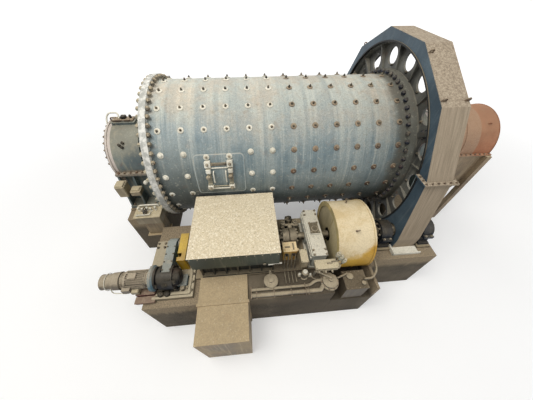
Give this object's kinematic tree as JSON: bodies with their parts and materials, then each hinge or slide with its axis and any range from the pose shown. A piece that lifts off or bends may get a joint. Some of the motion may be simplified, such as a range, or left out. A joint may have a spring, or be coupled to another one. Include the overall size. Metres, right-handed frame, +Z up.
{
  "type": "ball mill",
  "caption": "Horizontal grinding mill on piers: bolted shell with liner bolts, trunnion bearings, guarded girth gear and pinion, clutch, motor and inching drive.",
  "frame": {"origin": "middle of the plant's bounding box, on the ground", "axes": "+X along the mill axis from the feed end to the discharge end, +Z up, the drive stands on the -Y side"},
  "size_m": [10.388, 7.2378, 5.366],
  "materials": {
    "shell_paint": "faded blue-grey paint with dust and streaks",
    "clamp_metal": "cream paint, chipped and dusty",
    "gear_metal": "greased and dusty casting",
    "pinion_metal": "greased steel",
    "clutch_metal": "dark machined metal",
    "bearing_paint": "dark blue paint",
    "guard_paint": "dark blue-grey paint under beige dust",
    "seal_rubber": "black rubber strip",
    "housing_paint": "blue-grey paint with dust",
    "hood_paint": "rust-orange sheet",
    "chute_paint": "rusty dusty sheet",
    "pier_concrete": "dusty concrete",
    "steel_base": "dusty dark steel",
    "motor_dark": "dark grey-green paint",
    "motor_paint": "dark grey-green sheet under beige dust",
    "pale_grey": "pale grey paint",
    "yellow_guard": "yellow paint, dusty above",
    "orange_paint": "orange-yellow paint",
    "beige_box": "beige paint with dust",
    "inching_metal": "dusty grey casting",
    "light_blue": "light blue paint",
    "bright_yellow": "bright yellow paint",
    "duct_paint": "dusty beige sheet"
  },
  "bodies": {
    "plant": {"pinion_bearing_inner": "bearing_paint", "pinion_bearing_outer": "bearing_paint", "pinion_sole_plates": "steel_base", "gear_guard_upper": "guard_paint", "gear_guard_lower": "guard_paint", "guard_seal": "seal_rubber", "guard_legs": "steel_base", "feed_bearing_base": "housing_paint", "feed_bearing_cap": "housing_paint", "feed_spout": "bearing_paint", "discharge_bearing_base": "housing_paint", "discharge_bearing_cap": "housing_paint", "discharge_hood": "hood_paint", "discharge_hood_ends": "hood_paint", "discharge_chute": "chute_paint", "feed_pier": "pier_concrete", "discharge_pier": "pier_concrete", "drive_pier": "pier_concrete", "motor_base": "steel_base", "motor_frame": "motor_dark", "motor_hood": "motor_paint", "shaft_pedestal": "pale_grey", "clutch_guard": "yellow_guard", "brush_box": "orange_paint", "switch_box": "beige_box", "junction_box": "beige_box", "inching_motor": "inching_metal", "inching_adapter": "light_blue", "inching_reducer": "bearing_paint", "inching_arm": "light_blue", "inching_base": "steel_base", "inching_coupling_guard": "bright_yellow", "lube_tank": "steel_base", "motor_duct": "duct_paint"},
    "mill": {"shell": "shell_paint", "manhole_pad": "shell_paint", "manhole_cover": "shell_paint", "manhole_clamps": "clamp_metal", "feed_head": "shell_paint", "discharge_head": "shell_paint", "girth_gear": "gear_metal"},
    "pinion_line": {"pinion": "pinion_metal", "pinion_shaft": "pinion_metal", "clutch": "clutch_metal", "motor_shaft": "pinion_metal"}
  },
  "joints": [
    {"name": "mill_spin", "type": "hinge", "parent": "plant", "child": "mill", "pos_m": [-0.756, 0.9729, 2.8], "axis": [1, 0, 0], "continuous": true},
    {"name": "pinion_spin", "type": "hinge", "parent": "plant", "child": "pinion_line", "pos_m": [2.192, -1.5889, 1.89785], "axis": [1, 0, 0], "continuous": true}
  ],
  "couplings": [
    {"joint": "pinion_spin", "follows": "mill_spin", "ratio": -9.7778}
  ]
}
